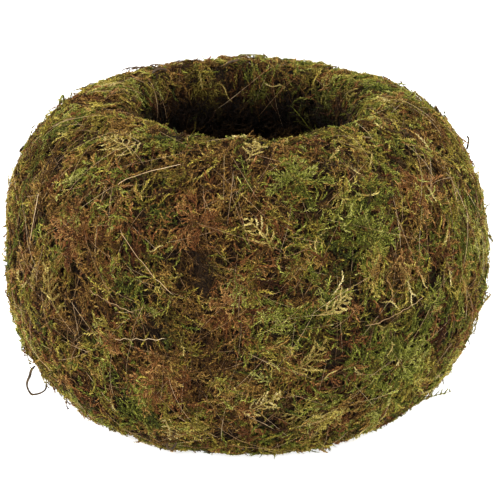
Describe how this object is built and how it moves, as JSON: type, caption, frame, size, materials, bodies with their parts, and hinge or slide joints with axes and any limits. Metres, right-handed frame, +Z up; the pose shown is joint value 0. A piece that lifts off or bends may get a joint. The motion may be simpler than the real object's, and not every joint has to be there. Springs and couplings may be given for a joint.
{
  "type": "hollow moss ball planter",
  "caption": "Squat hollow ball of felted sheet moss with a rolled open rim and a flat spot below, free-standing, with fronds, stems and sprigs on its wall.",
  "frame": {"origin": "centre of the flat spot that the ball rests on", "axes": "+Z up through the opening, -Y is the front, +X to the right seen from the front"},
  "size_m": [0.2065, 0.203, 0.1321],
  "materials": {
    "moss_wall": "dry felted sheet moss, matt, olive to brown, shaggy",
    "moss_green": "fresher green pinnate moss fronds, matt",
    "moss_rust": "dead red-brown moss fronds, matt",
    "moss_straw": "pale straw-coloured moss fronds, matt",
    "grass_stem": "thin dry pinkish-tan grass stems, faint sheen",
    "root_dark": "dark dry twigs and wiry roots, matt"
  },
  "bodies": {
    "root": {"twig_on_back_rim": "root_dark", "bark_bit_on_left_rim": "root_dark", "curled_sprig_upper_left": "moss_straw", "spur_at_left": "root_dark", "hook_at_right": "root_dark", "root_loop_lower_left": "root_dark", "root_loop_at_foot": "root_dark", "upper_tuft_at_left": "moss_green", "lower_tuft_at_left": "moss_green", "tuft_at_upper_right": "moss_straw", "sprig_at_right": "moss_straw", "bright_sprig_lower_right": "moss_green", "grass_stem_01": "grass_stem", "grass_stem_02": "grass_stem", "grass_stem_03": "grass_stem", "grass_stem_04": "grass_stem", "grass_stem_05": "grass_stem", "grass_stem_06": "grass_stem", "grass_stem_07": "grass_stem", "green_spray_01": "moss_green", "green_spray_02": "moss_green", "green_spray_03": "moss_green", "green_spray_04": "moss_green", "green_spray_05": "moss_green", "green_spray_06": "moss_green", "rust_spray_01": "moss_rust", "rust_spray_02": "moss_rust", "rust_spray_03": "moss_rust", "rust_spray_04": "moss_rust", "rust_spray_05": "moss_rust", "straw_frond_01": "moss_straw", "straw_frond_02": "moss_straw", "straw_frond_03": "moss_straw", "straw_frond_04": "moss_straw", "straw_frond_05": "moss_straw", "straw_frond_06": "moss_straw", "grass_stem_08": "grass_stem", "grass_stem_09": "grass_stem", "grass_stem_10": "grass_stem", "grass_stem_11": "grass_stem", "grass_stem_12": "grass_stem", "green_spray_07": "moss_green", "green_spray_08": "moss_green", "rust_spray_06": "moss_rust", "straw_frond_07": "moss_straw", "straw_frond_08": "moss_straw", "straw_frond_09": "moss_straw", "moss_wall": "moss_wall"}
  },
  "joints": []
}
